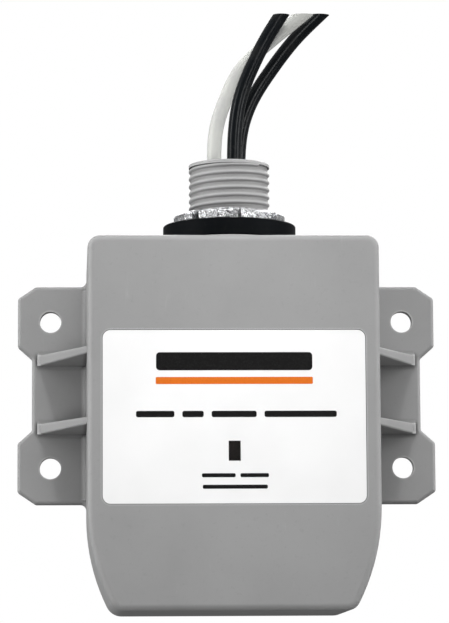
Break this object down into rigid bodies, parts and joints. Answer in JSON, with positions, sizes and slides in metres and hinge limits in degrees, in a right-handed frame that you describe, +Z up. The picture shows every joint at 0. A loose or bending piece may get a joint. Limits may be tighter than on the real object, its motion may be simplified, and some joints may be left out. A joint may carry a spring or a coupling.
{
  "type": "whole house surge protector",
  "caption": "Flanged plastic surge protector with a threaded cable nipple, sealing washer, locknut, cut leads and a lamp window; thermally released varistors on a board inside.",
  "frame": {"origin": "centre of the four flange holes, on the wall plane", "axes": "+Z up along the cable nipple, -Y out of the wall towards the front label, +X to the right of someone facing the front"},
  "size_m": [0.113, 0.056, 0.1604],
  "materials": {
    "housing_plastic": "fine moulded texture",
    "cover_seal_rubber": "matte",
    "screw_steel": "zinc plated",
    "label_film": "satin film",
    "smoked_lens": "clear smoked",
    "led_epoxy": "diffused",
    "washer_rubber": "matte",
    "locknut_zinc": "bright zinc",
    "board_laminate": "solder mask",
    "copper": "bare copper",
    "varistor_epoxy": "dipped epoxy",
    "bracket_brass": "stamped brass",
    "pin_steel": "ground",
    "spring_steel": "drawn wire",
    "fuse_ceramic": "unglazed",
    "resistor_body": "lacquer",
    "diode_body": "moulded epoxy",
    "capacitor_box": "moulded box",
    "terminal_brass": "tinned",
    "lead_black_jacket": "extruded vinyl with nylon skin",
    "lead_white_jacket": "extruded vinyl with nylon skin",
    "potting_epoxy": "poured resin"
  },
  "bodies": {
    "housing": {"housing": "housing_plastic", "rear_cover": "housing_plastic", "cover_seal": "cover_seal_rubber", "cover_screws": "screw_steel", "front_label": "label_film", "indicator_lens": "smoked_lens", "indicator_led": "led_epoxy", "circuit_board": "board_laminate", "board_screws": "screw_steel", "contact_tabs": "copper", "varistor_line_1": "varistor_epoxy", "varistor_line_2": "varistor_epoxy", "disconnect_bracket_1": "bracket_brass", "disconnect_bracket_2": "bracket_brass", "disconnect_pin_1": "pin_steel", "disconnect_pin_2": "pin_steel", "disconnect_spring_1": "spring_steel", "disconnect_spring_2": "spring_steel", "line_fuses": "fuse_ceramic", "led_resistors": "resistor_body", "rectifier_diodes": "diode_body", "filter_capacitor": "capacitor_box", "lead_terminals": "terminal_brass", "lead_conductors": "copper", "black_lead_1": "lead_black_jacket", "black_lead_2": "lead_black_jacket", "white_lead": "lead_white_jacket", "lead_seal_plug": "potting_epoxy"},
    "sealing_washer": {"sealing_washer": "washer_rubber"},
    "locknut": {"locknut": "locknut_zinc"},
    "disconnect_arm_1": {"disconnect_arm_1": "bracket_brass"},
    "disconnect_arm_2": {"disconnect_arm_2": "bracket_brass"}
  },
  "joints": [
    {"name": "washer_lift", "type": "slide", "parent": "housing", "child": "sealing_washer", "axis": [0, 0, 1], "range_m": [0, 0.012]},
    {"name": "locknut_turn", "type": "hinge", "parent": "sealing_washer", "child": "locknut", "pos_m": [0, -0.028, 0.0422], "axis": [0, 0, 1], "range_deg": [0, 2160]},
    {"name": "disconnect_release_1", "type": "hinge", "parent": "housing", "child": "disconnect_arm_1", "pos_m": [-0.0245, -0.0374, -0.006], "axis": [-1, 0, 0], "range_deg": [0, 32], "deforming": ["disconnect_spring_1"]},
    {"name": "disconnect_release_2", "type": "hinge", "parent": "housing", "child": "disconnect_arm_2", "pos_m": [0.0245, -0.0374, -0.006], "axis": [-1, 0, 0], "range_deg": [0, 32], "deforming": ["disconnect_spring_2"]}
  ],
  "couplings": [
    {"joint": "washer_lift", "follows": "locknut_turn", "m_per_rad": 0.0003183}
  ]
}
